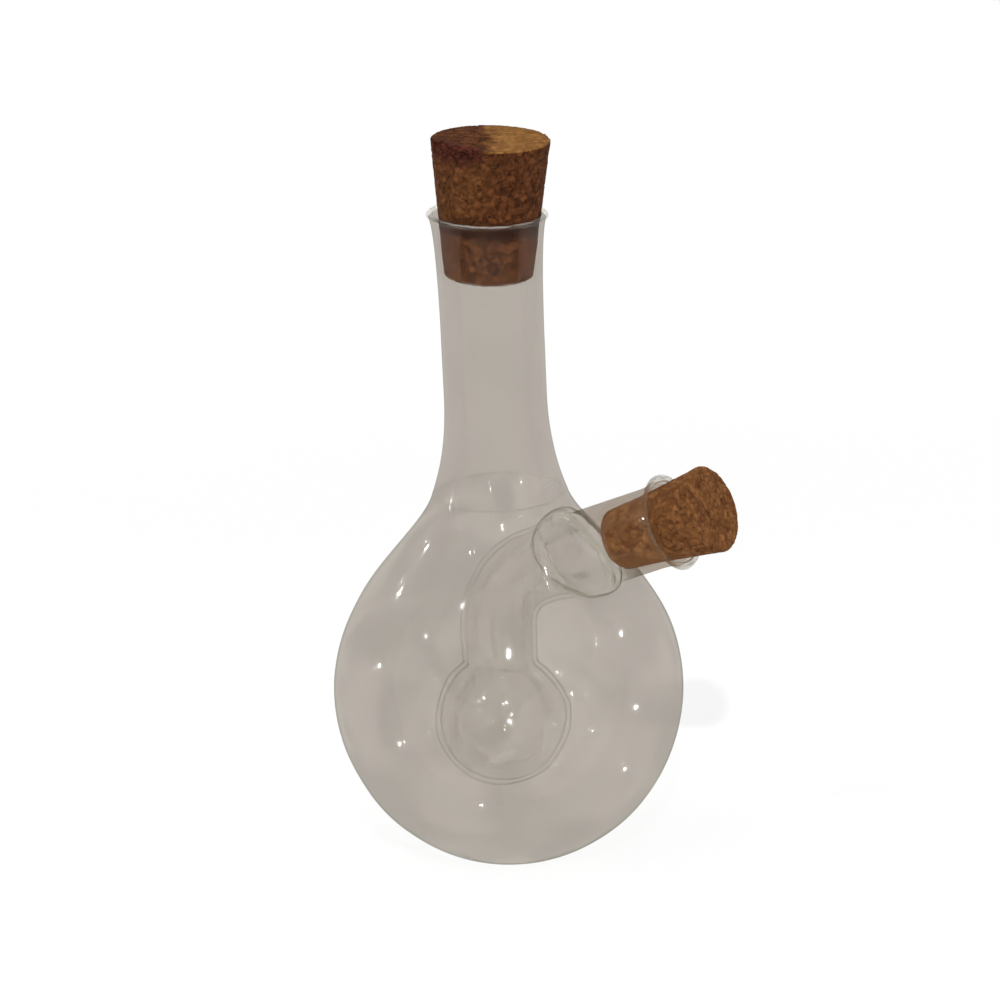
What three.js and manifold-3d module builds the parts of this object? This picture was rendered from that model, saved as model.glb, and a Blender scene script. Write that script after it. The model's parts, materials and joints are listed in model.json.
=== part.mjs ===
// Dual oil and vinegar dispenser of lampworked glass: a round flask with a long neck holds the oil,
// and a small bulb sealed inside it holds the vinegar and pours through a spout on the flask's shoulder.
// Millimetres, +Z up. The origin is the middle of the flat foot, and the spout points along +X.

import * as THREE from 'three';
import { mergeVertices } from 'three/addons/utils/BufferGeometryUtils.js';
import Module from 'manifold-3d';

// Outer flask
const GLOBE_RADIUS = 47.5;
const GLOBE_DROP = 49; // from the widest place down to where the globe would close if it had no foot
const GLOBE_WALL = 1.5;
const FOOT_RADIUS = 17;
const FOOT_WALL = 2.2;
const SHOULDER_FULLNESS = 27.8; // how far the wall keeps straight up above the widest place
const SEAM_HEIGHT = 101; // where the neck is sealed on to the globe
const SEAM_RADIUS = 18.2;
const SEAM_SLOPE = 0.33; // how much the wall draws in for each millimetre that it rises at the seam
const SEAM_HANDLE = 13;
const FLASK_HEIGHT = 178.5;
const NECK_RADIUS = 13.75;
const NECK_WALL = 1.4;
const FLARE_LENGTH = 27.5; // from the seam up to where the neck is straight
const FLARE_HANDLE = 5;
const NECK_HANDLE = 14.5;
const MOUTH_FLARE = 32.5; // how far below its edge the mouth starts to open
const MOUTH_RADIUS = 15.9;

// Inner flask, all in one upright plane that lies a little off the middle
const INNER_OFFSET = -3;
const BULB_RADIUS = 18.4;
const BULB_DROP = 39.4; // from the bend's corner down to the bulb's middle
const BULB_SHIFT = -0.5;
const BULB_WALL = 1.3;
const BULB_FILLET = 4;
const FEED_RADIUS = 10.4;
const FEED_WALL = 1.3;
const BEND_BELOW_SEAM = 24.1; // from the seam down to the bend's corner, where the spout's axis starts
const BEND_REACH = 15; // how far on each side of its corner the tube is bent

// Side spout and the weld that seals it through the globe's wall
const SPOUT_RISE = THREE.MathUtils.degToRad(23.1);
const SPOUT_REACH = 59.4; // from the bend's corner to the spout's edge
const SPOUT_RADIUS = 10.8;
const SPOUT_WALL = 1.35;
const SPOUT_FLARE = 8;
const SPOUT_MOUTH_RADIUS = 12.6;
const SEAL_WIDTH = 2;
const SEAL_HALF_HEIGHT = 2.6;
const SPOUT_TAIL = 1.2; // how far the spout reaches in behind the weld

// Cork stoppers, squeezed where they are in the glass and tapered outside it
const NECK_STOPPER_LENGTH = 37.8;
const NECK_STOPPER_DEPTH = 18;
const NECK_STOPPER_SEAT = 6.5; // below the mouth's edge
const NECK_STOPPER_TAPER = 0.114;
const SPOUT_STOPPER_LENGTH = 31.3;
const SPOUT_STOPPER_DEPTH = 18.6;
const SPOUT_STOPPER_SEAT = 7;
const SPOUT_STOPPER_TAPER = 0.134;
const STOPPER_TIP_PLAY = 0.65;
const STOPPER_CHAMFER = 0.7;

// Clearance between neighbours that are fused or pressed together on the real object
const SEAM_GAP = 0.3;

const ROUND = 40; // faces round the globe and the neck
const ROUND_SMALL = 28; // faces round the spout, the bulb and the corks
const SEAL_ROUND = 36;

const wasm = await Module();
wasm.setup();

const glass = new THREE.MeshStandardMaterial({ color: 0xd8d8d2, roughness: 0.04, metalness: 0 });
const innerGlass = new THREE.MeshStandardMaterial({ color: 0xcfd3cf, roughness: 0.04, metalness: 0 });
const weldGlass = new THREE.MeshStandardMaterial({ color: 0xb9bcb2, roughness: 0.1, metalness: 0 });
const cork = new THREE.MeshStandardMaterial({ color: 0x8a5a38, roughness: 0.9, metalness: 0 });

const globeCentre = GLOBE_DROP * Math.sqrt(1 - (FOOT_RADIUS / GLOBE_RADIUS) ** 2);
const bendHeight = SEAM_HEIGHT - BEND_BELOW_SEAM;
const bulbHeight = bendHeight - BULB_DROP;

function point(radius, height) {
  return new THREE.Vector2(radius, height);
}

function curve(from, handleFrom, handleTo, to, steps) {
  return new THREE.CubicBezierCurve(from, handleFrom, handleTo, to).getPoints(steps);
}

function circleArc(centreRadius, centreHeight, radius, fromAngle, toAngle, steps) {
  const arc = new THREE.EllipseCurve(
    centreRadius, centreHeight, radius, radius, fromAngle, toAngle, toAngle < fromAngle,
  );
  return arc.getPoints(steps);
}

// The same outline moved towards the axis by a wall's thickness; its two ends stay at their heights.
function inset(outline, wall) {
  const last = outline.length - 1;
  return outline.map((here, i) => {
    if (i === 0 || i === last) return point(here.x - wall, here.y);
    const along = outline[i + 1].clone().sub(outline[i - 1]).normalize();
    return point(here.x - along.y * wall, here.y + along.x * wall);
  });
}

function radiusAt(outline, height) {
  for (let i = 1; i < outline.length; i += 1) {
    const [low, high] = [outline[i - 1], outline[i]];
    if (height >= low.y && height <= high.y) {
      return THREE.MathUtils.mapLinear(height, low.y, high.y, low.x, high.x);
    }
  }
  return height < outline[0].y ? outline[0].x : outline[outline.length - 1].x;
}

// A closed mesh with shared corners and no collapsed triangles, ready to be cut or shown.
function cleaned(geometry) {
  geometry.deleteAttribute('normal');
  geometry.deleteAttribute('uv');
  const merged = mergeVertices(geometry, 1e-4);
  const corners = merged.index.array;
  const kept = [];
  for (let i = 0; i < corners.length; i += 3) {
    const [a, b, c] = corners.subarray(i, i + 3);
    if (a !== b && b !== c && c !== a) kept.push(a, b, c);
  }
  merged.setIndex(kept);
  merged.computeVertexNormals();
  return merged;
}

// A profile of radius and height turned round the Z axis.
function turned(profile, segments) {
  const geometry = new THREE.LatheGeometry(profile, segments);
  geometry.rotateX(Math.PI / 2);
  return cleaned(geometry);
}

function toSolid(geometry) {
  const vertProperties = new Float32Array(geometry.attributes.position.array);
  const triVerts = new Uint32Array(geometry.index.array);
  return new wasm.Manifold(new wasm.Mesh({ numProp: 3, vertProperties, triVerts }));
}

function carved(geometry, ...tools) {
  const result = tools.reduce((solid, tool) => solid.subtract(toSolid(tool)), toSolid(geometry));
  const mesh = result.getMesh();
  const cut = new THREE.BufferGeometry();
  cut.setAttribute('position', new THREE.BufferAttribute(mesh.vertProperties, 3));
  cut.setIndex(new THREE.BufferAttribute(mesh.triVerts, 1));
  cut.computeVertexNormals();
  return cut;
}

// The middle of a glass tube's wall from where its mouth starts to open up to its fire-polished edge.
function mouthMiddle(radius, wall, mouthRadius, edge, flare, steps) {
  const middle = radius - wall / 2;
  const lip = point(mouthRadius - wall / 2, edge - wall / 2);
  const opening = lip.x - middle;
  return curve(
    point(middle, edge - flare), point(middle, edge - flare * 0.4),
    point(lip.x - opening * 0.55, lip.y - opening * 0.45), lip, steps,
  );
}

// Both faces of a wall that follows its middle line, joined by a round edge at the far end.
function wallProfile(middle, wall) {
  const outer = inset(middle, -wall / 2);
  const inner = inset(middle, wall / 2);
  const end = middle[middle.length - 1];
  const edge = circleArc(end.x, end.y, wall / 2, 0, Math.PI, 4);
  return { outer, inner, closed: [...outer, ...edge.slice(1, -1), ...inner.reverse(), outer[0]] };
}

// Outer flask: outlines
const widest = point(GLOBE_RADIUS, globeCentre);
const seam = point(SEAM_RADIUS, SEAM_HEIGHT);

function lowerWall(inward, floor, steps) {
  const drop = GLOBE_DROP - inward;
  const start = Math.asin(THREE.MathUtils.clamp((globeCentre - floor) / drop, 0, 1));
  const arc = new THREE.EllipseCurve(0, globeCentre, GLOBE_RADIUS - inward, drop, -start, 0, false);
  return arc.getPoints(steps);
}

const shoulder = curve(
  widest, point(GLOBE_RADIUS, globeCentre + SHOULDER_FULLNESS),
  point(SEAM_RADIUS + SEAM_HANDLE * SEAM_SLOPE, SEAM_HEIGHT - SEAM_HANDLE), seam, 10,
);
const neckBase = inset(curve(
  seam, point(SEAM_RADIUS - FLARE_HANDLE * SEAM_SLOPE, SEAM_HEIGHT + FLARE_HANDLE),
  point(NECK_RADIUS, SEAM_HEIGHT + FLARE_LENGTH - NECK_HANDLE),
  point(NECK_RADIUS, SEAM_HEIGHT + FLARE_LENGTH), 6,
), NECK_WALL / 2);
const neckMouth = mouthMiddle(NECK_RADIUS, NECK_WALL, MOUTH_RADIUS, FLASK_HEIGHT, MOUTH_FLARE, 7);
const neckWall = wallProfile([...neckBase, ...neckMouth], NECK_WALL);
const flaskOutline = [...shoulder, ...neckWall.outer.slice(1)];

// The spout's own frame stands at the bend's corner with its Z axis along the spout.
const spoutFrame = new THREE.Group();
spoutFrame.position.set(BULB_SHIFT, INNER_OFFSET, bendHeight);
spoutFrame.rotation.y = Math.PI / 2 - SPOUT_RISE;
spoutFrame.updateMatrixWorld(true);

// How far along the spout's axis a line beside it comes out through the middle of the flask's wall.
function wallDistance(radius, angle) {
  const depth = (distance) => {
    const p = new THREE.Vector3(radius * Math.cos(angle), radius * Math.sin(angle), distance);
    p.applyMatrix4(spoutFrame.matrixWorld);
    return Math.hypot(p.x, p.y) - radiusAt(flaskOutline, p.z) + GLOBE_WALL / 2;
  };
  let inside = 0;
  let outside = SPOUT_REACH;
  while (outside - inside > 1e-4) {
    const half = (inside + outside) / 2;
    if (depth(half) < 0) inside = half;
    else outside = half;
  }
  return inside;
}

// A bead of glass round the spout that follows the globe's wall; grown by a clearance it is the cutter.
function sealBead(bore, growth) {
  const width = SEAL_WIDTH + growth;
  const height = SEAL_HALF_HEIGHT + growth;
  const start = SPOUT_RADIUS + SEAM_GAP;
  const section = new THREE.EllipseCurve(start, 0, width, height, -Math.PI / 2, Math.PI / 2, false);
  const rounded = section.getPoints(6);
  const profile = [...rounded, point(bore, height), point(bore, -height), rounded[0]];
  const bead = turned(bore < start ? profile : [...rounded, rounded[0]], SEAL_ROUND);
  const places = bead.attributes.position;
  for (let i = 0; i < places.count; i += 1) {
    const angle = Math.atan2(places.getY(i), places.getX(i));
    places.setZ(i, places.getZ(i) + wallDistance(start + SEAL_WIDTH / 2, angle));
  }
  bead.computeVertexNormals();
  return bead;
}

function nearestWall() {
  let nearest = SPOUT_REACH;
  for (let i = 0; i < SEAL_ROUND; i += 1) {
    nearest = Math.min(nearest, wallDistance(SPOUT_RADIUS, (i / SEAL_ROUND) * 2 * Math.PI));
  }
  return nearest;
}

const spoutStart = nearestWall() - SPOUT_TAIL;

function spoutHole() {
  const hole = new THREE.CylinderGeometry(
    SPOUT_RADIUS + SEAM_GAP, SPOUT_RADIUS + SEAM_GAP, SPOUT_REACH, SEAL_ROUND,
  );
  hole.rotateX(Math.PI / 2);
  hole.translate(0, 0, SPOUT_REACH / 2 + BEND_REACH);
  hole.applyMatrix4(spoutFrame.matrixWorld);
  return cleaned(hole);
}

function sealRoom() {
  const room = sealBead(SPOUT_RADIUS - SEAM_GAP, SEAM_GAP);
  room.applyMatrix4(spoutFrame.matrixWorld);
  return room;
}

const cutters = [spoutHole(), sealRoom()];

function outerGlobe() {
  const outside = [...lowerWall(0, 0, 8), ...shoulder.slice(1)];
  const floor = lowerWall(GLOBE_WALL, FOOT_WALL, 8);
  const inside = [...floor, ...inset(shoulder, GLOBE_WALL).slice(1)];
  const profile = [point(0, 0), ...outside, ...inside.reverse(), point(0, FOOT_WALL)];
  return carved(turned(profile, ROUND), ...cutters);
}

function neckTube() {
  return carved(turned(neckWall.closed, ROUND), ...cutters);
}

// Inner flask: a round bulb with a short open collar, and the bent tube that is sealed on to the collar
const collarRise = Math.sqrt((BULB_RADIUS + BULB_FILLET) ** 2 - (FEED_RADIUS + BULB_FILLET) ** 2);
const collarHeight = bulbHeight + collarRise;

function innerBulb() {
  const turn = Math.atan2(collarRise, FEED_RADIUS + BULB_FILLET);
  const sphere = circleArc(0, bulbHeight, BULB_RADIUS, -Math.PI / 2, turn, 10);
  const fillet = circleArc(
    FEED_RADIUS + BULB_FILLET, collarHeight, BULB_FILLET, Math.PI + turn, Math.PI, 4,
  );
  const outside = [...sphere, ...fillet.slice(1)];
  const inside = inset(outside, BULB_WALL).slice(1).reverse();
  return turned([...outside, ...inside, point(0, bulbHeight - BULB_RADIUS + BULB_WALL)], ROUND_SMALL);
}

function feedTube() {
  const corner = new THREE.Vector3(0, 0, bendHeight);
  const along = new THREE.Vector3(Math.cos(SPOUT_RISE), 0, Math.sin(SPOUT_RISE));
  const bendStart = new THREE.Vector3(0, 0, bendHeight - BEND_REACH);
  const bendEnd = corner.clone().addScaledVector(along, BEND_REACH);
  const path = new THREE.CurvePath();
  path.add(new THREE.LineCurve3(new THREE.Vector3(0, 0, collarHeight), bendStart));
  path.add(new THREE.QuadraticBezierCurve3(bendStart, corner, bendEnd));
  path.add(new THREE.LineCurve3(bendEnd, corner.clone().addScaledVector(along, spoutStart - SEAM_GAP)));
  const section = new THREE.Shape();
  section.absarc(0, 0, FEED_RADIUS, 0, 2 * Math.PI, false);
  const bore = new THREE.Path();
  bore.absarc(0, 0, FEED_RADIUS - FEED_WALL, 0, 2 * Math.PI, true);
  section.holes.push(bore);
  return cleaned(new THREE.ExtrudeGeometry(section, { steps: 12, curveSegments: 10, extrudePath: path }));
}

// Side spout, in its own frame
const spoutWall = wallProfile([
  point(SPOUT_RADIUS - SPOUT_WALL / 2, spoutStart),
  ...mouthMiddle(SPOUT_RADIUS, SPOUT_WALL, SPOUT_MOUTH_RADIUS, SPOUT_REACH, SPOUT_FLARE, 6),
], SPOUT_WALL);

function sideSpout() {
  return turned(spoutWall.closed, ROUND_SMALL);
}

// A cork from its tip to its head: squeezed to the bore below its seat, and a plain cone above it.
function stopper(edge, depth, length, seat, taper, bore, segments) {
  const tipHeight = edge - depth;
  const headHeight = tipHeight + length;
  const seatHeight = edge - seat;
  const seatRadius = radiusAt(bore, seatHeight) - SEAM_GAP;
  const tipRadius = radiusAt(bore, tipHeight) - STOPPER_TIP_PLAY;
  const headRadius = seatRadius + taper * (headHeight - seatHeight);
  const profile = [
    point(0, tipHeight),
    point(tipRadius - STOPPER_CHAMFER, tipHeight),
    point(tipRadius, tipHeight + STOPPER_CHAMFER),
    point(seatRadius, seatHeight),
    point(headRadius - taper * STOPPER_CHAMFER, headHeight - STOPPER_CHAMFER),
    point(headRadius - STOPPER_CHAMFER, headHeight),
    point(0, headHeight),
  ];
  return turned(profile, segments);
}

function upwards(outline) {
  return [...outline].sort((a, b) => a.y - b.y);
}

function neckStopper() {
  return stopper(
    FLASK_HEIGHT, NECK_STOPPER_DEPTH, NECK_STOPPER_LENGTH, NECK_STOPPER_SEAT,
    NECK_STOPPER_TAPER, upwards(neckWall.inner), ROUND_SMALL,
  );
}

function spoutStopper() {
  return stopper(
    SPOUT_REACH, SPOUT_STOPPER_DEPTH, SPOUT_STOPPER_LENGTH, SPOUT_STOPPER_SEAT,
    SPOUT_STOPPER_TAPER, upwards(spoutWall.inner), ROUND_SMALL,
  );
}

function named(name, geometry, material) {
  const mesh = new THREE.Mesh(geometry, material);
  mesh.name = name;
  return mesh;
}

const dispenser = new THREE.Group();
dispenser.add(named('outer_globe', outerGlobe(), glass));
dispenser.add(named('neck_tube', neckTube(), glass));
dispenser.add(named('neck_stopper', neckStopper(), cork));

const innerFlask = new THREE.Group();
innerFlask.position.set(BULB_SHIFT, INNER_OFFSET, 0);
innerFlask.add(named('inner_bulb', innerBulb(), innerGlass));
innerFlask.add(named('feed_tube', feedTube(), innerGlass));
dispenser.add(innerFlask);

spoutFrame.add(named('seal_ring', sealBead(SPOUT_RADIUS + SEAM_GAP, 0), weldGlass));
spoutFrame.add(named('side_spout', sideSpout(), glass));
spoutFrame.add(named('spout_stopper', spoutStopper(), cork));
dispenser.add(spoutFrame);

export default dispenser;
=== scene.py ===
import json
import math

import bmesh
import bpy
from mathutils import Matrix, Vector, noise
from mathutils.bvhtree import BVHTree
from mathutils.geometry import interpolate_bezier


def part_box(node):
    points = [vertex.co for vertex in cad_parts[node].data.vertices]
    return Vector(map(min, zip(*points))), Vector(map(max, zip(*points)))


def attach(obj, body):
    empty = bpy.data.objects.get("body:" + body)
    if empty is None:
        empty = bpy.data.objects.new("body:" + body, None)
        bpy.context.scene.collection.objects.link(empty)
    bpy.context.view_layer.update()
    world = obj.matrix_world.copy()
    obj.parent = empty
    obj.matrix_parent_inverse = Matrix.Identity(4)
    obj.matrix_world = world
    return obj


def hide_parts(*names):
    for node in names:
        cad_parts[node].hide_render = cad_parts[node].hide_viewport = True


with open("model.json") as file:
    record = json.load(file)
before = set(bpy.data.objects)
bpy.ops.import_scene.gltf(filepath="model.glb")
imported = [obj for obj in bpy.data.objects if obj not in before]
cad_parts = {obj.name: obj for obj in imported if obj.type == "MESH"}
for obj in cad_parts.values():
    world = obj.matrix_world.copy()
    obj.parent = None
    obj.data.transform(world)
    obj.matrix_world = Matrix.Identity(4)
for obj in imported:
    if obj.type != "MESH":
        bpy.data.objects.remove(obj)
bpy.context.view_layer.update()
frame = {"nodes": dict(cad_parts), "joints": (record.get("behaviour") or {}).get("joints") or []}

# Outer globe
# The round body that holds the oil: borosilicate tube blown out in one piece, with its foot pressed flat
# so that it stands. The neck is fused on at its top, and the spout's weld fills the hole in its shoulder.
MM = 0.001
TOUCHING = 0.005 * MM
ROUND = 192
SECTORS = 12
_, globe_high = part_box("outer_globe")
neck_low, neck_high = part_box("neck_tube")
globe_radius = globe_high.x
seam_height = globe_high.z
seam_radius = -neck_low.x
seam_ridge = 0.05 * MM
seam_ridge_width = 1.0 * MM
globe_wall = 1.5 * MM
globe_drop = 49 * MM
foot_radius = 17 * MM
foot_wall = 2.2 * MM
foot_edge = 0.8 * MM
foot_hollow = 0.5 * MM
foot_ring = 13 * MM
shoulder_fullness = 27.8 * MM
seam_slope = 0.33
seam_handle = 13 * MM
globe_middle = globe_drop * math.sqrt(1 - (foot_radius / globe_radius) ** 2)
smoke = (0.465, 0.423, 0.382)
clear = (0.99, 0.99, 0.985)
smoke_line = (0.8, 0.83, 0.78)


def at(radius, height):
    return Vector((radius, 0, height))


def bend(start, start_handle, end_handle, end, steps):
    """One smooth stretch of an outline, as points of radius and height."""
    return [p.copy() for p in interpolate_bezier(start, start_handle, end_handle, end, steps + 1)]


def arc(middle, radius, height, start, end, steps):
    """A stretch of an ellipse round middle, from one angle to another."""
    angles = [start + (end - start) * i / steps for i in range(steps + 1)]
    return [middle + at(radius * math.cos(a), height * math.sin(a)) for a in angles]


def moved_in(outline, wall):
    """The same outline moved towards the axis by a wall's thickness; its ends keep their heights."""
    first = (outline[1] - outline[0]).normalized()
    last = (outline[-1] - outline[-2]).normalized()
    inner = [outline[0] - at(wall / max(0.5, first.z), 0)]
    for before, here, after in zip(outline, outline[1:], outline[2:]):
        along = (after - before).normalized()
        inner.append(here + at(-along.z, along.x) * wall)
    return inner + [outline[-1] - at(wall / max(0.5, last.z), 0)]


def with_seam(outline):
    """The low ridge that the flame leaves where neck and globe are fused."""
    return [
        p + at(seam_ridge * math.exp(-((p.z - seam_height) / seam_ridge_width) ** 2), 0)
        for p in outline
    ]


def turned(outline, steps=ROUND):
    """An outline turned round the Z axis, one sector at a time, into a closed skin."""
    bm = bmesh.new()
    points = [bm.verts.new(p) for p in outline]
    edges = [bm.edges.new(pair) for pair in zip(points, points[1:])]
    bmesh.ops.spin(
        bm, geom=points + edges, cent=(0, 0, 0), axis=(0, 0, 1), angle=math.tau / SECTORS,
        steps=steps // SECTORS,
    )
    sector = bm.verts[:] + bm.edges[:] + bm.faces[:]
    for i in range(1, SECTORS):
        copy = bmesh.ops.duplicate(bm, geom=sector)["geom"]
        bmesh.ops.rotate(
            bm, cent=(0, 0, 0), matrix=Matrix.Rotation(i * math.tau / SECTORS, 3, "Z"),
            verts=[part for part in copy if isinstance(part, bmesh.types.BMVert)],
        )
    bmesh.ops.remove_doubles(bm, verts=bm.verts[:], dist=0.0005 * MM)
    bmesh.ops.recalc_face_normals(bm, faces=bm.faces[:])
    return bm


def smooth_step(value, start, end):
    t = min(1, max(0, (value - start) / (end - start)))
    return t * t * (3 - 2 * t)


def worked_by_hand(bm, depth, size, seed, still):
    """Makes the faces of a blown piece uneven; still says how much of its true shape a place keeps."""
    bm.normal_update()
    for vertex in bm.verts:
        place = (vertex.co + vertex.normal * size * 0.4) / size + Vector((seed, 0, 0))
        vertex.co += vertex.normal * noise.noise(place) * depth * (1 - still(vertex.co))


def inner_skin_seen_from(bm, inside):
    """Gives the inner skin of a hollow piece its own slot; inside finds a place in the hollow."""
    bm.normal_update()
    for face in bm.faces:
        middle = face.calc_center_median()
        if face.normal.dot(middle - inside(middle)) < 0:
            face.material_index = 2


def fused_where(bm, test, slot=1):
    """Marks the faces that are fused to the next piece, so that light meets no surface there."""
    for face in bm.faces:
        if test(face.calc_center_median()):
            face.material_index = slot


def fresh(bm, name):
    """A new object of that mesh, smooth apart from its sharp edges."""
    mesh = bpy.data.meshes.new(name)
    bm.to_mesh(mesh)
    bm.free()
    mesh.shade_smooth()
    mesh.set_sharp_from_angle(angle=math.radians(50))
    piece = bpy.data.objects.new(name, mesh)
    bpy.context.scene.collection.objects.link(piece)
    return piece


def handed_over(piece, materials, body, node):
    """Gives a finished piece its materials, the body it rides on and the node it stands for."""
    for material in materials:
        piece.data.materials.append(material)
    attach(piece, body)
    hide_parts(node)


def arithmetic(nodes, links, clamped=False):
    """Gives a function that adds one sum to a material's nodes and hands back its result."""
    def figure(operation, a, b):
        node = nodes.new("ShaderNodeMath")
        node.operation = operation
        node.use_clamp = clamped
        for socket, value in zip(node.inputs, (a, b)):
            if isinstance(value, (int, float)):
                socket.default_value = value
            else:
                links.new(value, socket)
        return node.outputs[0]
    return figure


def ranged(nodes, links, value, start, end, low=0.0, high=1.0):
    """Turns a value between start and end softly into one between low and high; limits may be sockets."""
    node = nodes.new("ShaderNodeMapRange")
    node.interpolation_type = "SMOOTHSTEP"
    links.new(value, node.inputs["Value"])
    for name, limit in (("From Min", start), ("From Max", end), ("To Min", low), ("To Max", high)):
        if isinstance(limit, (int, float)):
            node.inputs[name].default_value = limit
        else:
            links.new(limit, node.inputs[name])
    return node.outputs["Result"]


straight_at_edge = 0.92
rim_end = 0.98
cloud_scale = 38
cloud_start = 0.36
cloud_end = 0.64
cloud_thinnest = -0.55
cloud_thickest = 0.45


def glass_wall_group():
    """The colours of a round glass wall, and where it is seen so much from the side that little is bent."""
    group = bpy.data.node_groups.new("round glass wall", "ShaderNodeTree")
    sockets = (
        ("Facing", "INPUT", "NodeSocketFloat"), ("Edge", "INPUT", "NodeSocketFloat"),
        ("Rim Start", "INPUT", "NodeSocketFloat"),
        ("Leaving", "INPUT", "NodeSocketFloat"), ("Clouds", "INPUT", "NodeSocketFloat"),
        ("Tint", "INPUT", "NodeSocketColor"), ("Line", "INPUT", "NodeSocketColor"),
        ("Mask", "OUTPUT", "NodeSocketFloat"), ("Rim", "OUTPUT", "NodeSocketFloat"),
        ("Bent", "OUTPUT", "NodeSocketColor"), ("Straight", "OUTPUT", "NodeSocketColor"),
    )
    for name, way, kind in sockets:
        group.interface.new_socket(name, in_out=way, socket_type=kind)
    nodes, links = group.nodes, group.links
    given = nodes.new("NodeGroupInput").outputs
    result = nodes.new("NodeGroupOutput").inputs
    figure = arithmetic(nodes, links)
    mask = ranged(nodes, links, given["Facing"], 0.0, given["Edge"], high=straight_at_edge)
    links.new(mask, result["Mask"])
    rim = ranged(nodes, links, given["Facing"], given["Rim Start"], rim_end)
    links.new(rim, result["Rim"])
    place = nodes.new("ShaderNodeTexCoord")
    uneven = nodes.new("ShaderNodeTexNoise")
    uneven.inputs["Scale"].default_value = cloud_scale
    uneven.inputs["Detail"].default_value = 2
    uneven.inputs["Distortion"].default_value = 1.0
    links.new(place.outputs["Object"], uneven.inputs["Vector"])
    banks = ranged(
        nodes, links, uneven.outputs["Fac"], cloud_start, cloud_end, low=cloud_thinnest, high=cloud_thickest,
    )
    clouds = figure("MULTIPLY", given["Clouds"], given["Leaving"])
    thicker = figure("ADD", figure("MULTIPLY", banks, clouds), 1)
    tinted = nodes.new("ShaderNodeMix")
    tinted.data_type = "RGBA"
    tinted.inputs[6].default_value = (*clear, 1)
    links.new(given["Leaving"], tinted.inputs[0])
    links.new(given["Tint"], tinted.inputs[7])
    clouded = nodes.new("ShaderNodeVectorMath")
    clouded.operation = "SCALE"
    links.new(tinted.outputs[2], clouded.inputs[0])
    links.new(thicker, clouded.inputs["Scale"])
    squared = nodes.new("ShaderNodeVectorMath")
    squared.operation = "MULTIPLY"
    links.new(clouded.outputs[0], squared.inputs[0])
    links.new(clouded.outputs[0], squared.inputs[1])
    links.new(squared.outputs[0], result["Bent"])
    lined = nodes.new("ShaderNodeMix")
    lined.data_type = "RGBA"
    lined.blend_type = "MULTIPLY"
    links.new(rim, lined.inputs[0])
    links.new(clouded.outputs[0], lined.inputs[6])
    links.new(given["Line"], lined.inputs[7])
    links.new(lined.outputs[2], result["Straight"])
    return group


round_glass_wall = glass_wall_group()
glass_bending = 1.47
lamp_light_passed = (0.975, 0.975, 0.972, 1)
lamp_light_at_rim = (0.8, 0.8, 0.79, 1)


def held_beyond(wall, radius):
    """How much from the side a round wall is seen where it starts to hold light in."""
    return 1 - math.sqrt(1 - ((1 - wall / radius) / glass_bending) ** 2)


def blown_glass(name, tint, line, edge, clouds=0.0, smoked=None, rim_start=0.78):
    """Blown glass for a round wall. It tints the light that leaves through it, and lets lamps shine in."""
    material = bpy.data.materials.new(name)
    material.use_nodes = True
    nodes, links = material.node_tree.nodes, material.node_tree.links
    surface = nodes["Principled BSDF"]
    surface.inputs["Roughness"].default_value = 0.05
    surface.inputs["IOR"].default_value = glass_bending
    surface.inputs["Transmission Weight"].default_value = 1.0
    surface.inputs["Specular Tint"].default_value = (0.3, 0.3, 0.3, 1)
    look = nodes.new("ShaderNodeGroup")
    look.node_tree = round_glass_wall
    look.inputs["Edge"].default_value = edge
    look.inputs["Rim Start"].default_value = rim_start
    look.inputs["Clouds"].default_value = clouds
    look.inputs["Tint"].default_value = (*tint, 1)
    look.inputs["Line"].default_value = (*line, 1)
    weight = nodes.new("ShaderNodeLayerWeight")
    weight.inputs["Blend"].default_value = 0.5
    links.new(weight.outputs["Facing"], look.inputs["Facing"])
    side = nodes.new("ShaderNodeNewGeometry")
    leaving = side.outputs["Backfacing"]
    if smoked:
        share = nodes.new("ShaderNodeAttribute")
        share.attribute_name = smoked
        leaving = arithmetic(nodes, links)("MULTIPLY", leaving, share.outputs["Fac"])
    links.new(leaving, look.inputs["Leaving"])
    links.new(look.outputs["Bent"], surface.inputs["Base Color"])
    seen_through = nodes.new("ShaderNodeBsdfTransparent")
    links.new(look.outputs["Straight"], seen_through.inputs["Color"])
    at_the_edge = nodes.new("ShaderNodeMixShader")
    links.new(look.outputs["Mask"], at_the_edge.inputs["Fac"])
    links.new(surface.outputs["BSDF"], at_the_edge.inputs[1])
    links.new(seen_through.outputs["BSDF"], at_the_edge.inputs[2])
    shade = nodes.new("ShaderNodeMix")
    shade.data_type = "RGBA"
    shade.inputs[6].default_value = lamp_light_passed
    shade.inputs[7].default_value = lamp_light_at_rim
    links.new(look.outputs["Rim"], shade.inputs[0])
    lamp_light = nodes.new("ShaderNodeBsdfTransparent")
    links.new(shade.outputs[2], lamp_light.inputs["Color"])
    path = nodes.new("ShaderNodeLightPath")
    shader = at_the_edge.outputs["Shader"]
    for kind in ("Is Diffuse Ray", "Is Shadow Ray"):
        mixed = nodes.new("ShaderNodeMixShader")
        links.new(path.outputs[kind], mixed.inputs["Fac"])
        links.new(shader, mixed.inputs[1])
        links.new(lamp_light.outputs["BSDF"], mixed.inputs[2])
        shader = mixed.outputs["Shader"]
    links.new(shader, nodes["Material Output"].inputs["Surface"])
    return material


fused_face = bpy.data.materials.new("fused face")
fused_face.use_nodes = True
fused_face.node_tree.nodes["Principled BSDF"].inputs["Alpha"].default_value = 0

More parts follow.
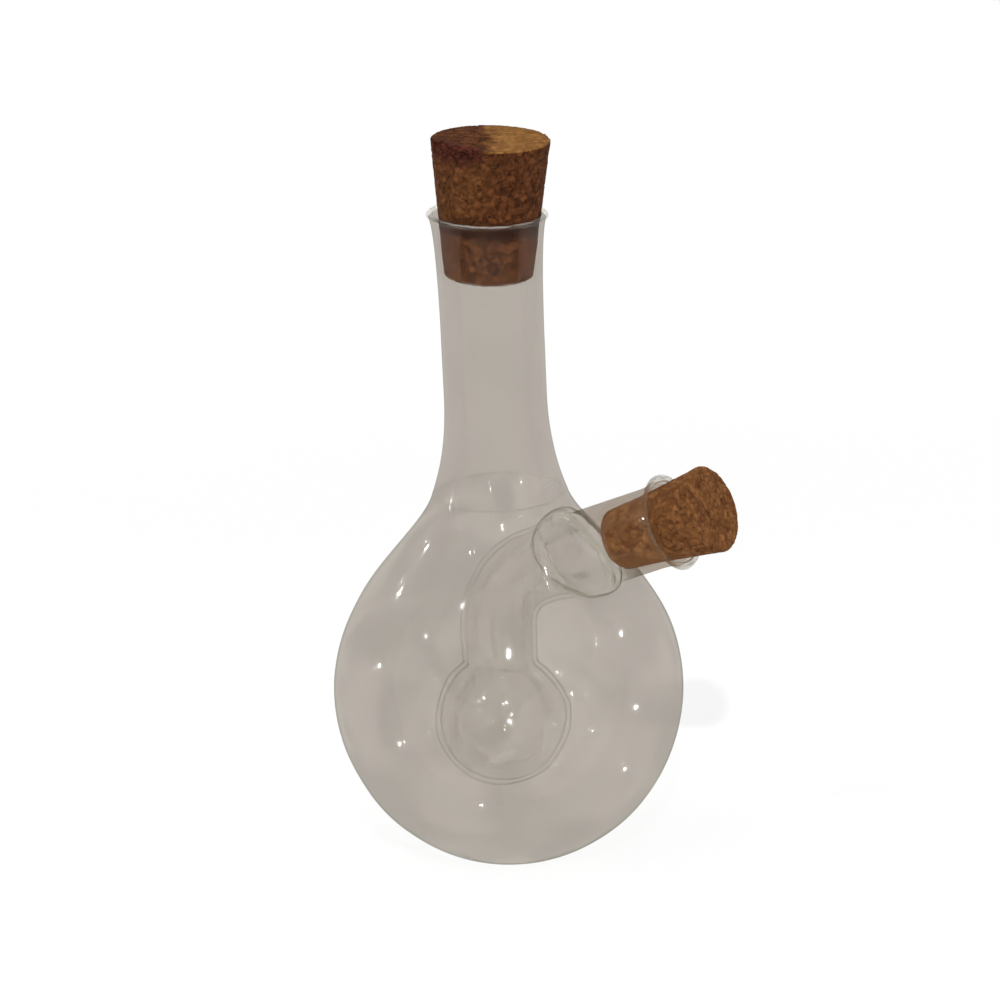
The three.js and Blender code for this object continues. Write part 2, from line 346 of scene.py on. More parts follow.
foot = [
    *bend(at(0, foot_hollow), at(foot_ring * 0.6, foot_hollow), at(foot_ring * 0.8, 0), at(foot_ring, 0), 12),
    *arc(at(foot_radius - foot_edge, foot_edge), foot_edge, foot_edge, -math.pi / 2, -math.pi / 4, 4),
]
lower_start = math.asin((globe_middle - foot_edge) / globe_drop)
below = arc(at(0, globe_middle), globe_radius, globe_drop, -lower_start, 0, 44)
shoulder = with_seam(bend(
    at(globe_radius, globe_middle), at(globe_radius, globe_middle + shoulder_fullness),
    at(seam_radius + seam_handle * seam_slope, seam_height - seam_handle),
    at(seam_radius, seam_height), 60,
))
inner_radius = globe_radius - globe_wall
inner_drop = globe_drop - globe_wall
floor_rise = 4 * MM
floor_start = -math.asin((globe_middle - foot_wall - floor_rise) / inner_drop)
inside_below = arc(at(0, globe_middle), inner_radius, inner_drop, floor_start, 0, 44)
floor_slope = at(-inner_radius * math.sin(floor_start), inner_drop * math.cos(floor_start)).normalized()
inside_floor = bend(
    at(0, foot_wall), at(inside_below[0].x * 0.6, foot_wall),
    inside_below[0] - floor_slope * 6 * MM, inside_below[0], 16,
)
outer_face = [*foot, *below, *shoulder[1:]]
inner_face = [*inside_floor, *inside_below[1:], *moved_in(shoulder, globe_wall)[1:]]
globe_mesh = turned([*outer_face, *reversed(inner_face)])


def globe_still(place):
    """The globe keeps its true shape at its foot and at the seam."""
    near_foot = 1 - smooth_step(place.z, 0.5 * MM, 9 * MM)
    return max(near_foot, smooth_step(place.z, seam_height - 10 * MM, seam_height))


worked_by_hand(globe_mesh, depth=0.2 * MM, size=16 * MM, seed=3, still=globe_still)
inner_skin_seen_from(globe_mesh, lambda p: Vector((0, 0, globe_middle)))
fused_where(globe_mesh, lambda p: p.z > seam_height - TOUCHING)
globe_tree = BVHTree.FromBMesh(globe_mesh)
outer_globe = fresh(globe_mesh, "blown_globe")
globe_edge = held_beyond(globe_wall, globe_radius)
globe_glass = blown_glass("globe glass", smoke, smoke_line, globe_edge, clouds=0.2)
globe_inside = blown_glass("globe inside", clear, clear, globe_edge)

# Neck
# A straight piece of the same tube, fused on to the globe at the seam and flared there. Its mouth is
# opened with a reamer in the flame, a little out of square, and has a round fire-polished edge.
mouth_height = neck_high.z
neck_wall = 1.4 * MM
neck_radius = 13.75 * MM
mouth_radius = 15.9 * MM
flare_length = 27.5 * MM
flare_handle = 5 * MM
neck_handle = 14.5 * MM
mouth_flare = 32.5 * MM
neck_polished = 1.4 * MM
mouth_slant = math.tan(math.radians(2.65))
across = Vector((0.865, 0.502, 0))


def mouth_middle(radius, wall, opened, edge, flare, steps):
    """The middle of a tube's wall, from where its mouth starts to open up to its polished edge."""
    middle = radius - wall / 2
    lip = at(opened - wall / 2, edge - wall / 2)
    opening = lip.x - middle
    return bend(
        at(middle, edge - flare), at(middle, edge - 0.4 * flare),
        lip - at(0.55, 0.45) * opening, lip, steps,
    )


def wall_round(middle, wall):
    """A wall on both sides of its middle line, with a round edge at its far end."""
    edge = arc(middle[-1], wall / 2, wall / 2, 0, math.pi, 10)
    outer = moved_in(middle, -wall / 2)
    inner = moved_in(middle, wall / 2)
    return [*outer, *edge[1:-1], *reversed(inner), outer[0]]


neck_base = moved_in(with_seam(bend(
    at(seam_radius, seam_height),
    at(seam_radius - flare_handle * seam_slope, seam_height + flare_handle),
    at(neck_radius, seam_height + flare_length - neck_handle),
    at(neck_radius, seam_height + flare_length), 48,
)), neck_wall / 2)
neck_mouth = mouth_middle(neck_radius, neck_wall, mouth_radius, mouth_height, mouth_flare, 34)
neck_mesh = turned(wall_round([*neck_base, *neck_mouth], neck_wall))
worked_by_hand(
    neck_mesh, depth=0.07 * MM, size=11 * MM, seed=5,
    still=lambda p: 1 - smooth_step(p.z, seam_height, seam_height + 10 * MM),
)
for vertex in neck_mesh.verts:
    slanted = smooth_step(vertex.co.z, mouth_height - mouth_flare, mouth_height - 4 * MM)
    vertex.co.z -= vertex.co.dot(across) * mouth_slant * slanted
inner_skin_seen_from(neck_mesh, lambda p: Vector((0, 0, p.z)))
fused_where(neck_mesh, lambda p: p.z < seam_height + TOUCHING)
fused_where(neck_mesh, lambda p: p.z + p.dot(across) * mouth_slant > mouth_height - neck_polished, 3)
neck_tree = BVHTree.FromBMesh(neck_mesh)
neck = fresh(neck_mesh, "flared_neck")
neck_edge = held_beyond(neck_wall, neck_radius)
neck_glass = blown_glass("neck glass", smoke, smoke_line, neck_edge, clouds=0.04)
neck_inside = blown_glass("neck inside", clear, clear, neck_edge)
polished_edge = blown_glass("polished edge", (0.8, 0.78, 0.73), smoke_line, edge=0.9)
seam_line = bpy.data.materials.new("seam line")
seam_line.use_nodes = True
seam_surface = seam_line.node_tree.nodes["Principled BSDF"]
seam_surface.inputs["Base Color"].default_value = (0.25, 0.24, 0.2, 1)
seam_surface.inputs["Roughness"].default_value = 0.9
seam_surface.inputs["Alpha"].default_value = 0.2
handed_over(neck, [neck_glass, seam_line, neck_inside, polished_edge], "flask", "neck_tube")

# Inner bulb
# The small round vessel for the vinegar, blown from thinner tube. A short collar is left on its top,
# where the feed tube is fused on.
bulb_low, bulb_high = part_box("inner_bulb")
bulb_radius = 18.4 * MM
bulb_wall = 1.3 * MM
bulb_fillet = 4 * MM
feed_radius = 10.4 * MM
thin_tint = (0.965, 0.963, 0.955)
thin_line = (0.5, 0.5, 0.46)
thin_edge = 0.42
bulb_middle = Vector((
    bulb_low.x / 2 + bulb_high.x / 2, bulb_low.y / 2 + bulb_high.y / 2, bulb_low.z + bulb_radius,
))
collar_rise = math.sqrt((bulb_radius + bulb_fillet) ** 2 - (feed_radius + bulb_fillet) ** 2)
collar_turn = math.atan2(collar_rise, feed_radius + bulb_fillet)
bulb_outer = arc(at(0, 0), bulb_radius, bulb_radius, -math.pi / 2, collar_turn, 60)
bulb_collar = arc(
    at(feed_radius + bulb_fillet, collar_rise), bulb_fillet, bulb_fillet,
    math.pi + collar_turn, math.pi, 16,
)
bulb_face = [*bulb_outer, *bulb_collar[1:]]
bulb_inside = moved_in(bulb_face, bulb_wall)[1:]
bulb_mesh = turned([*bulb_face, *reversed(bulb_inside), at(0, bulb_wall - bulb_radius)], 144)
worked_by_hand(
    bulb_mesh, depth=0.32 * MM, size=7 * MM, seed=8,
    still=lambda p: smooth_step(p.z, collar_rise - 5 * MM, collar_rise),
)
fused_where(bulb_mesh, lambda p: p.z > collar_rise - TOUCHING)
bmesh.ops.translate(bulb_mesh, verts=bulb_mesh.verts, vec=bulb_middle)
bulb = fresh(bulb_mesh, "vinegar_bulb")
bulb_glass = blown_glass("bulb glass", thin_tint, thin_line, thin_edge)
handed_over(bulb, [bulb_glass, fused_face], "flask", "inner_bulb")

# Feed tube
# A bent tube that leads the vinegar from the bulb's collar up to the spout. It is bent over a flame, so
# its curve is one soft sweep, and it opens a little where it meets the spout.
feed_wall = 1.3 * MM
bend_reach = 15 * MM
bend_below_seam = 24.1 * MM
spout_radius = 10.8 * MM
spout_wall = 1.35 * MM
FEED_STEPS = 40
FEED_ROUND = 96
spout_joint = next(j for j in frame["joints"] if j["name"] == "spout_stopper_pull")
spout_axis = Vector(spout_joint["axis"]).normalized()
bend_corner = Vector((bulb_middle.x, bulb_middle.y, seam_height - bend_below_seam))
collar_top = Vector((bulb_middle.x, bulb_middle.y, bulb_high.z))


def along_spout(node, pick):
    """The nearest or farthest place of a node along the spout's axis, from the bend's corner."""
    return pick((v.co - bend_corner).dot(spout_axis) for v in frame["nodes"][node].data.vertices)


spout_start = along_spout("side_spout", min)
spout_edge = along_spout("side_spout", max)
bend_start = bend_corner - Vector((0, 0, bend_reach))
bend_end = bend_corner + spout_axis * bend_reach
feed_end = bend_corner + spout_axis * spout_start


def feed_path():
    """Places along the feed tube's middle line, each with its direction."""
    rise = [collar_top.lerp(bend_start, i / 4) for i in range(4)]
    curve = [p.copy() for p in interpolate_bezier(
        bend_start, bend_start.lerp(bend_corner, 2 / 3), bend_end.lerp(bend_corner, 2 / 3), bend_end,
        FEED_STEPS + 1,
    )]
    places = [*rise, *curve, *(bend_end.lerp(feed_end, i / 8) for i in range(1, 9))]
    steps = [b - a for a, b in zip(places, places[1:])]
    turns = [a.normalized() + b.normalized() for a, b in zip(steps, steps[1:])]
    return [(p, d.normalized()) for p, d in zip(places, [steps[0], *turns, steps[-1]])]


def far_along(place):
    return (place - bend_corner).dot(spout_axis)


def feed_tube():
    bm = bmesh.new()
    rings = []
    for place, direction in feed_path():
        sideways = Vector((0, 1, 0))
        upright = sideways.cross(direction).normalized()
        turn = Matrix((upright, sideways, direction)).transposed().to_4x4()
        opened = smooth_step(far_along(place), bend_reach, spout_start)
        outer = feed_radius + (spout_radius - feed_radius) * opened
        wall = feed_wall + (spout_wall - feed_wall) * opened
        loops = []
        for radius in (outer, outer - wall):
            loop = bmesh.ops.create_circle(
                bm, cap_ends=False, segments=FEED_ROUND, radius=radius,
                matrix=Matrix.Translation(place) @ turn,
            )
            loops.append({edge for vertex in loop["verts"] for edge in vertex.link_edges})
        rings.append(loops)
    for (outer_a, inner_a), (outer_b, inner_b) in zip(rings, rings[1:]):
        bmesh.ops.bridge_loops(bm, edges=list(outer_a | outer_b))
        bmesh.ops.bridge_loops(bm, edges=list(inner_a | inner_b))
    for outer, inner in (rings[0], rings[-1]):
        bmesh.ops.bridge_loops(bm, edges=list(outer | inner))
    bmesh.ops.recalc_face_normals(bm, faces=bm.faces[:])
    return bm


def feed_still(place):
    """The feed tube keeps its true shape at both of its ends."""
    near_collar = 1 - smooth_step(place.z, collar_top.z, collar_top.z + 4 * MM)
    return max(near_collar, smooth_step(far_along(place), spout_start - 5 * MM, spout_start - 1 * MM))


def feed_fused(place):
    return place.z < collar_top.z + TOUCHING or far_along(place) > spout_start - TOUCHING


feed_mesh = feed_tube()
worked_by_hand(feed_mesh, depth=0.1 * MM, size=9 * MM, seed=11, still=feed_still)
fused_where(feed_mesh, feed_fused)
feed = fresh(feed_mesh, "feed_tube_bent")
feed_glass = blown_glass("feed tube glass", thin_tint, thin_line, thin_edge)
handed_over(feed, [feed_glass, fused_face], "flask", "feed_tube")

# Weld
# The thick ring of glass that the flame leaves where feed tube, spout and globe are sealed together. It
# follows the globe's wall all round the spout and bulges on both sides of it.
weld_width = 2.3 * MM
weld_half_height = 2.6 * MM
weld_play = 0.02 * MM
weld_uneven = 0.2
spout_turn = Matrix.Rotation(math.pi / 2 - math.asin(spout_axis.z), 4, "Y")
spout_frame = Matrix.Translation(bend_corner) @ spout_turn
to_spout = spout_frame.inverted()


def on_wall(beside):
    """Where the globe's wall is on a line beside the spout's axis: its middle, and half its thickness."""
    start = spout_frame @ Vector((beside.x, beside.y, 0))
    far = start + spout_axis * spout_edge
    hit, normal, _, _ = globe_tree.ray_cast(far, -spout_axis)
    half = globe_wall / 2 / abs(normal.dot(spout_axis))
    return (hit - start).dot(spout_axis) - half, half


def weld(bore, growth):
    """The weld's ring; grown and with its bore filled, it is the cutter for the hole in the globe."""
    height = weld_half_height + growth
    section = arc(at(spout_radius, 0), weld_width + growth, height, -math.pi / 2, math.pi / 2, 32)
    rows = [at(bore, height * (1 - i / 8)) for i in range(1, 16)]
    bm = turned([at(bore, -height), *section, at(bore, height), *rows, at(bore, -height)], 144)
    for vertex in bm.verts:
        beside = Vector((vertex.co.x, vertex.co.y, 0))
        out = beside.normalized()
        past = max(0, beside.length - spout_radius)
        vertex.co += out * past * weld_uneven * noise.noise(out * 1.7 + Vector((4, 0, 0)))
        vertex.co.z += on_wall(out * (spout_radius + weld_width / 2))[0]
    bmesh.ops.transform(bm, matrix=spout_frame, verts=bm.verts)
    return bm


def in_the_weld(place):
    """True for a face of the weld that lies against the spout or inside the globe's wall."""
    local = to_spout @ place
    beside = Vector((local.x, local.y, 0))
    if beside.length < spout_radius + 0.1 * MM:
        return True
    middle, half = on_wall(beside)
    return abs(local.z - middle) < half


weld_mesh = weld(spout_radius + weld_play, 0)
worked_by_hand(weld_mesh, depth=0.13 * MM, size=3 * MM, seed=13, still=in_the_weld)
fused_where(weld_mesh, in_the_weld)
weld_ring = fresh(weld_mesh, "weld_ring")
weld_tint = (0.84, 0.85, 0.79)
weld_line = (0.4, 0.42, 0.32)
weld_glass = blown_glass("weld glass", weld_tint, weld_line, edge=0.6, rim_start=0.4)
handed_over(weld_ring, [weld_glass, fused_face], "flask", "seal_ring")

cutter_mesh = weld(spout_radius * 0.5, weld_play)
fused_where(cutter_mesh, lambda p: True)
cutter = fresh(cutter_mesh, "weld_cutter")
drill_mesh = bmesh.new()
bmesh.ops.create_cone(
    drill_mesh, cap_ends=True, segments=144, radius1=spout_radius * 0.8, radius2=spout_radius * 0.8,
    depth=spout_edge, matrix=spout_frame @ Matrix.Translation((0, 0, spout_edge / 2 + bend_reach)),
)
drill = fresh(drill_mesh, "weld_drill")
for piece in (outer_globe, cutter, drill):
    for material in (globe_glass, fused_face, globe_inside):
        piece.data.materials.append(material)
for tool in (cutter, drill):
    cut = outer_globe.modifiers.new(tool.name, "BOOLEAN")
    cut.operation = "DIFFERENCE"
    cut.solver = "EXACT"
    cut.object = tool
depsgraph = bpy.context.evaluated_depsgraph_get()
outer_globe.data = bpy.data.meshes.new_from_object(outer_globe.evaluated_get(depsgraph))
outer_globe.modifiers.clear()
for tool in (cutter, drill):
    bpy.data.objects.remove(tool)
outer_globe.data.set_sharp_from_angle(angle=math.radians(40))
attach(outer_globe, "flask")
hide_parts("outer_globe")

# Side spout
# A short straight tube that the vinegar pours through. It is fused into the weld, and its mouth is opened
# and fire-polished like the neck's.
spout_mouth_radius = 12.6 * MM
spout_flare = 8 * MM
spout_polished = 2.4 * MM
spout_tint = (0.42, 0.36, 0.31)
smoke_start = bend_reach + 8 * MM
smoke_full = bend_reach + 17 * MM
spout_root = at(spout_radius - spout_wall / 2, spout_start)
spout_mouth = mouth_middle(spout_radius, spout_wall, spout_mouth_radius, spout_edge, spout_flare, 24)
spout_middle = [*(spout_root.lerp(spout_mouth[0], i / 80) for i in range(80)), *spout_mouth]
spout_mesh = turned(wall_round(spout_middle, spout_wall), 144)
bmesh.ops.transform(spout_mesh, matrix=spout_frame, verts=spout_mesh.verts)


def spout_fused(place):
    """True for a face of the spout's root that the feed tube or the weld is fused to."""
    local = to_spout @ place
    beside = Vector((local.x, local.y, 0))
    middle, _ = on_wall(beside.normalized() * (spout_radius + weld_width / 2))
    held = beside.length > spout_radius - spout_wall / 2 and abs(local.z - middle) < weld_half_height
    return held or local.z < spout_start + TOUCHING


def spout_smoke(place):
    """The spout is clear at its root, where the globe behind it is tinted, and smoky at its mouth."""
    local = to_spout @ place
    return smooth_step(local.z - local.x, smoke_start, smoke_full)


smoke_layer = spout_mesh.verts.layers.float.new("smoke")
for vertex in spout_mesh.verts:
    vertex[smoke_layer] = spout_smoke(vertex.co)
inner_skin_seen_from(spout_mesh, lambda p: bend_corner + spout_axis * far_along(p))
fused_where(spout_mesh, spout_fused)
fused_where(spout_mesh, lambda p: far_along(p) > spout_edge - spout_polished, 3)
spout_tree = BVHTree.FromBMesh(spout_mesh)
spout = fresh(spout_mesh, "pouring_spout")
spout_held = held_beyond(spout_wall, spout_radius)
spout_glass = blown_glass("spout glass", spout_tint, smoke_line, spout_held, smoked="smoke")
spout_inside = blown_glass("spout inside", clear, clear, spout_held)
spout_slots = [spout_glass, fused_face, spout_inside, polished_edge]
handed_over(spout, spout_slots, "flask", "side_spout")

# Neck cork
# A tapered stopper turned from cork granules that are pressed together with glue. It is squeezed where
# it sits in the neck, and its rim has crumbled on one side and is stained dark there.
CORK_ROUND = 300
CORK_SEED = 5
cork_row = 0.34 * MM
cork_play = 0.04 * MM
neck_grain = 1.9 * MM
neck_cork_low, neck_cork_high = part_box("neck_stopper")
neck_cork_pivot = Vector((0, 0, neck_cork_low.z + 6 * MM))
neck_cork_lean = math.radians(3.2)
noise.seed_set(CORK_SEED)


def cork_body(tip, seat, head, rounding, head_rounding):
    """A cork's skin before its granules show; tip, seat in the glass and head are radius and height."""
    slope = (head - seat) / (head.z - seat.z)
    corners = [tip + at(0, rounding), seat, head - slope * head_rounding]
    outline = [at((tip.x - rounding) * i / 36, tip.z) for i in range(36)]
    outline += arc(tip + at(-rounding, rounding), rounding, rounding, -math.pi / 2, 0, 6)
    for start, end in zip(corners, corners[1:]):
        steps = max(2, round((end - start).length / cork_row))
        outline += [start.lerp(end, i / steps) for i in range(1, steps + 1)]
    edge = arc(head - at(head_rounding, head_rounding), head_rounding, head_rounding, 0, math.pi / 2, 6)
    outline += edge[1:]
    steps = round(edge[-1].x / cork_row)
    outline += [edge[-1].lerp(at(0, head.z), i / steps) for i in range(1, steps + 1)]
    return turned(outline, CORK_ROUND)


def press_granules(bm, grain, seed, soil, loss):
    """Lets the granules of a cork show: how dark each one is, and the gaps between them and lost ones, which
    are sunk and darkened with painted shade.
    """
    tone, gap, soil_and_shade_layer, burn = (bm.verts.layers.float.new(n) for n in ("tone", "gap", "soil", "burn"))
    bm.normal_update()
    for vertex in bm.verts:
        place = vertex.co / grain + Vector((seed, 0, 0))
        place += noise.noise_vector(place * 0.9) * 0.45 + noise.noise_vector(place * 3.1) * 0.16
        (nearest, second, *_), (middle, *_) = noise.voronoi(place)
        (fine_nearest, fine_second, *_), (fine_middle, *_) = noise.voronoi(place * 2.7)
        own = noise.cell(middle * 31.7) * 0.5 + 0.5
        fine_own = noise.cell(fine_middle * 17.3) * 0.5 + 0.5
        between = 1 - smooth_step(second - nearest, 0, 0.36)
        fine_between = 1 - smooth_step(fine_second - fine_nearest, 0, 0.4)
        open_here = smooth_step(noise.noise(place * 0.8), -0.1, 0.4)
        lost = smooth_step(fine_own, 0.86, 0.9) * (1 - fine_between)
        bite, burnt = loss(vertex.co, own, fine_own)
        # The soil function gives soil, which on the neck cork holds painted light and shade too, and a band
        # of painted shade.
        soiled, painted_rim_shade = soil(vertex.co)
        softly = noise.noise(place * 1.6) * 0.5 + 0.5
        vertex[tone] = min(1, max(0, (own * 0.5 + fine_own * 0.2 + softly * 0.3) * (1 - between * 0.5)))
        # The gap value is painted shade: in the gaps between granules, in the pits of lost ones, and in the
        # soil function's band.
        vertex[gap] = min(1, between * open_here * 0.5 + fine_between * 0.1 + lost * 0.8 + painted_rim_shade)
        vertex[soil_and_shade_layer] = soiled
        vertex[burn] = burnt
        depth = between * (0.04 + 0.16 * open_here) + fine_between * 0.05 + lost * 0.3 - (own - 0.5) * 0.1
        vertex.co -= vertex.normal * depth * MM
        vertex.co += bite


def from_side(place, side):
    """How far round the axis a place is from one side, in radians."""
    return abs((math.atan2(place.y, place.x) - side + math.pi) % math.tau - math.pi)


def crumbled(place, own, fine_own, rim, inward, side, width, depth):
    """How far a place on a crumbled stretch of a cork's rim has gone, and how much it is stained."""
    here = 1 - smooth_step(from_side(place, side), width * 0.55, width * 1.1)
    reach = math.hypot(place.x, place.y)
    from_rim = math.hypot(max(0, rim.x - reach), rim.z - place.z)
    broken = depth * here * (0.35 + 0.6 * own + 0.25 * fine_own)
    gone = max(0, broken - from_rim)
    out = Vector((place.x, place.y, 0)).normalized()
    stained = here * (1 - smooth_step(from_rim, broken * 0.9, broken + depth * 0.9))
    return (inward * 0.45 - out * 0.55) * gone * 0.75, stained


def squeezed(bm, tree, foot, axis, play):
    """Presses a cork in wherever it would reach into the glass round it."""
    for vertex in bm.verts:
        middle = foot + axis * (vertex.co - foot).dot(axis)
        out = vertex.co - middle
        if out.length < MM:
            continue
        hit, _, _, distance = tree.ray_cast(middle, out.normalized())
        if hit is not None and out.length > distance - play:
            vertex.co = middle + out.normalized() * (distance - play)


def pressed_cork_group():
    """The colour of pressed cork from its granules' tone, its soiling and its stains, and painted shade in
    the gaps between granules.
    """
    group = bpy.data.node_groups.new("pressed cork", "ShaderNodeTree")
    for name in ("Tone", "Gap", "Soil", "Burn"):
        group.interface.new_socket(name, in_out="INPUT", socket_type="NodeSocketFloat")
    for name in ("Clean Dark", "Clean Light", "Soiled Dark", "Soiled Light", "Stain Dark", "Stain Light"):
        group.interface.new_socket(name, in_out="INPUT", socket_type="NodeSocketColor")
    group.interface.new_socket("Color", in_out="OUTPUT", socket_type="NodeSocketColor")
    group.interface.new_socket("Height", in_out="OUTPUT", socket_type="NodeSocketFloat")
    nodes, links = group.nodes, group.links
    given = nodes.new("NodeGroupInput").outputs
    result = nodes.new("NodeGroupOutput")
    place = nodes.new("ShaderNodeTexCoord")

    def speckle(scale, detail):
        node = nodes.new("ShaderNodeTexNoise")
        node.inputs["Scale"].default_value = scale
        node.inputs["Detail"].default_value = detail
        links.new(place.outputs["Object"], node.inputs["Vector"])
        return node.outputs["Fac"]

    def blend(factor, a, b):
        node = nodes.new("ShaderNodeMix")
        node.data_type = "RGBA"
        for socket, value in ((node.inputs[0], factor), (node.inputs[6], a), (node.inputs[7], b)):
            if isinstance(value, tuple):
                socket.default_value = value
            else:
                links.new(value, socket)
        return node.outputs[2]

    figure = arithmetic(nodes, links, clamped=True)
    grain = speckle(1000, 3)
    patches = speckle(200, 2)
    fine = figure("MULTIPLY", figure("SUBTRACT", grain, 0.4), 3)
    tone = figure("ADD", figure("MULTIPLY", given["Tone"], 0.9), figure("MULTIPLY", fine, 0.22))
    soil = figure("ADD", given["Soil"], figure("MULTIPLY", figure("SUBTRACT", patches, 0.5), 0.5))
    clean = blend(tone, given["Clean Dark"], given["Clean Light"])
    soiled = blend(tone, given["Soiled Dark"], given["Soiled Light"])
    stained = blend(tone, given["Stain Dark"], given["Stain Light"])
    body = blend(given["Burn"], blend(soil, clean, soiled), stained)
    # Painted shade: the gap value darkens the cork towards near black, more where it is soiled.
    shadowed_share = figure("ADD", figure("MULTIPLY", given["Soil"], 0.55), 0.36)
    shadowed = blend(figure("MULTIPLY", given["Gap"], shadowed_share), body, (0.016, 0.005, 0.002, 1))
    links.new(shadowed, result.inputs["Color"])
    roughened = figure("ADD", figure("MULTIPLY", grain, 0.6), figure("MULTIPLY", speckle(3200, 2), 0.4))
    links.new(roughened, result.inputs["Height"])
    return group


pressed_cork = pressed_cork_group()


def cork_finish(name, clean, soiled, stain):
    """Pressed cork; each colour is given for its darkest and its lightest granules."""
    material = bpy.data.materials.new(name)
    material.use_nodes = True
    nodes, links = material.node_tree.nodes, material.node_tree.links
    surface = nodes["Principled BSDF"]
    surface.inputs["Roughness"].default_value = 0.85
    surface.inputs["Specular IOR Level"].default_value = 0.06
    look = nodes.new("ShaderNodeGroup")
    look.node_tree = pressed_cork
    for socket in ("Tone", "Gap", "Soil", "Burn"):
        read = nodes.new("ShaderNodeAttribute")
        read.attribute_name = socket.lower()
        links.new(read.outputs["Fac"], look.inputs[socket])
    for kind, (dark, light) in (("Clean", clean), ("Soiled", soiled), ("Stain", stain)):
        look.inputs[f"{kind} Dark"].default_value = (*dark, 1)
        look.inputs[f"{kind} Light"].default_value = (*light, 1)
    links.new(look.outputs["Color"], surface.inputs["Base Color"])
    bump = nodes.new("ShaderNodeBump")
    bump.inputs["Strength"].default_value = 0.5
    bump.inputs["Distance"].default_value = 0.15 * MM
    links.new(look.outputs["Height"], bump.inputs["Height"])
    links.new(bump.outputs["Normal"], surface.inputs["Normal"])
    return material


neck_cork_tip = at(11.92 * MM, neck_cork_low.z + 0.6 * MM)
neck_cork_seat = at(12.97 * MM, neck_cork_low.z + 11.5 * MM)
neck_cork_head = at(15.85 * MM, neck_cork_high.z)
# The band just under the mouth's rim is painted shade, where the glass's rim shades the cork.
rim_shade_height = mouth_height - 2.8 * MM
rim_shade_width = 2 * MM
ragged_size = 3.5 * MM


def neck_cork_soil_and_shade(place):
    """Soil and painted light and shade: painted shade in a band under the glass's rim, dark sides and a light
    top that are partly soil and partly painted light and shade from above, a slightly lighter left side as
    painted light, and a stained left half of its top.
    """
    in_glass = 1 - smooth_step(place.z, mouth_height - 7 * MM, mouth_height - 4 * MM)
    # A band of painted shade just under the glass's rim.
    rim_shade = math.exp(-((place.z - rim_shade_height) / rim_shade_width) ** 2)
    on_top = smooth_step(place.z, neck_cork_high.z - 0.7 * MM, neck_cork_high.z - 0.2 * MM)
    ragged = noise.noise(place / ragged_size) * ragged_size
    left = smooth_step(ragged - place.dot(across), -2 * MM, 3 * MM)
    # Sides darker than the top's right half, partly soil and partly painted shade, and the left side a little
    # lighter as painted light.
    side_soil_and_shade = 1.05 - 0.17 * left
    top_soil_and_light = 0.05 + 1.0 * left
    soil = side_soil_and_shade + (top_soil_and_light - side_soil_and_shade) * on_top
    soil += (0.93 - soil) * in_glass
    return min(1, max(0, soil)), rim_shade


def neck_cork_loss(place, own, fine_own):
    return crumbled(
        place, own, fine_own, rim=neck_cork_head, inward=Vector((0, 0, -1)),
        side=math.radians(255), width=math.radians(46), depth=3.4 * MM,
    )


neck_cork_mesh = cork_body(
    neck_cork_tip, neck_cork_seat, neck_cork_head, rounding=1.2 * MM, head_rounding=0.7 * MM,
)
press_granules(neck_cork_mesh, neck_grain, seed=2, soil=neck_cork_soil_and_shade, loss=neck_cork_loss)
lean = Matrix.Rotation(neck_cork_lean, 4, Vector((-across.y, across.x, 0)))
upright = Matrix.Translation(neck_cork_pivot) @ lean @ Matrix.Translation(-neck_cork_pivot)
bmesh.ops.transform(neck_cork_mesh, matrix=upright, verts=neck_cork_mesh.verts)
squeezed(neck_cork_mesh, neck_tree, Vector((0, 0, 0)), Vector((0, 0, 1)), cork_play)
neck_cork = fresh(neck_cork_mesh, "neck_cork")
dark_cork = cork_finish(
    "dark pressed cork", ((0.13, 0.052, 0.013), (0.36, 0.175, 0.05)),
    ((0.016, 0.004, 0.0012), (0.17, 0.059, 0.02)), ((0.004, 0.001, 0.0008), (0.14, 0.036, 0.022)),
)
handed_over(neck_cork, [dark_cork], "neck_cork", "neck_stopper")

# Spout cork
# The smaller stopper of the vinegar spout, from the same pressed granules. Its narrow end has crumbled
# a little on the underside.
spout_grain = 2.1 * MM
spout_cork_start = along_spout("spout_stopper", min)
spout_cork_tip = at(8.3 * MM, spout_cork_start)
spout_cork_seat = at(9.18 * MM, spout_cork_start + 11.6 * MM)
spout_cork_head = at(11.73 * MM, along_spout("spout_stopper", max))


def spout_cork_soil(place):
    in_glass = 1 - smooth_step(place.z, spout_edge - 3 * MM, spout_edge)
    return 0.4 - 0.2 * in_glass, 0.0


def spout_cork_loss(place, own, fine_own):
    bite, _ = crumbled(
        place, own, fine_own, rim=spout_cork_tip, inward=Vector((0, 0, 1)),
        side=math.radians(-20), width=math.radians(50), depth=2 * MM,
    )
    return bite, 0.0


spout_cork_mesh = cork_body(
    spout_cork_tip, spout_cork_seat, spout_cork_head, rounding=1.1 * MM, head_rounding=1.1 * MM,
)
press_granules(spout_cork_mesh, spout_grain, seed=7, soil=spout_cork_soil, loss=spout_cork_loss)
bmesh.ops.transform(spout_cork_mesh, matrix=spout_frame, verts=spout_cork_mesh.verts)
squeezed(spout_cork_mesh, spout_tree, bend_corner, spout_axis, cork_play)
spout_cork = fresh(spout_cork_mesh, "spout_cork")
warm_cork = cork_finish(
    "warm pressed cork", ((0.075, 0.024, 0.007), (0.34, 0.153, 0.052)),
    ((0.055, 0.016, 0.005), (0.17, 0.066, 0.022)), ((0.03, 0.008, 0.003), (0.16, 0.06, 0.03)),
)
handed_over(spout_cork, [warm_cork], "spout_cork", "spout_stopper")

